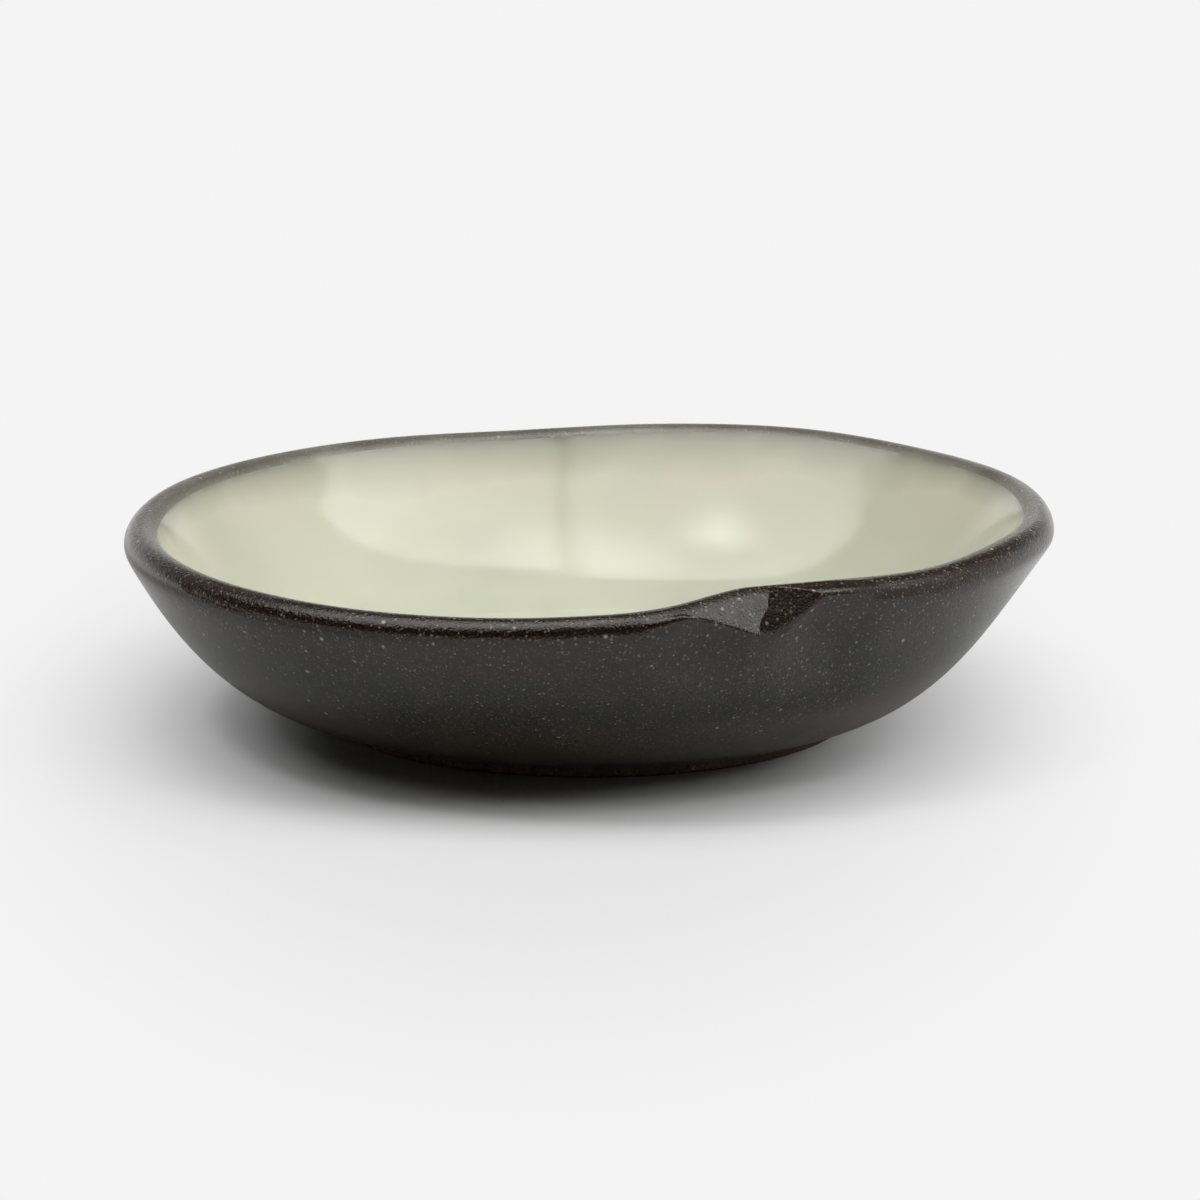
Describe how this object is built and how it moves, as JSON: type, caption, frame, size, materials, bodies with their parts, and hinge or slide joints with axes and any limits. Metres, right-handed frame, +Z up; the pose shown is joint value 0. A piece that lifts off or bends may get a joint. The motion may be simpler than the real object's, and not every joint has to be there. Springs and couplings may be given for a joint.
{
  "type": "soy sauce dish",
  "caption": "Small shallow hand-formed stoneware dish: dark wall, rounded rim with one pinch, cream-lined well, low bare foot ring.",
  "frame": {"origin": "centre of the foot ring, on the table it stands on", "axes": "+Z up out of the well; -Y is the front of the dish, with the pinch just to its +X side"},
  "size_m": [0.0998, 0.0995, 0.0235],
  "materials": {
    "stoneware_clay": "dark chocolate stoneware with pale grog, fired, unglazed",
    "clear_coat": "thin clear satin-gloss glaze over dark clay, slightly grainy",
    "cream_glaze": "cream satin glaze, thinning to grey-brown at the rim"
  },
  "bodies": {
    "root": {"clay_body": "stoneware_clay", "foot_ring": "stoneware_clay", "outer_glaze": "clear_coat", "inner_glaze": "cream_glaze"}
  },
  "joints": []
}
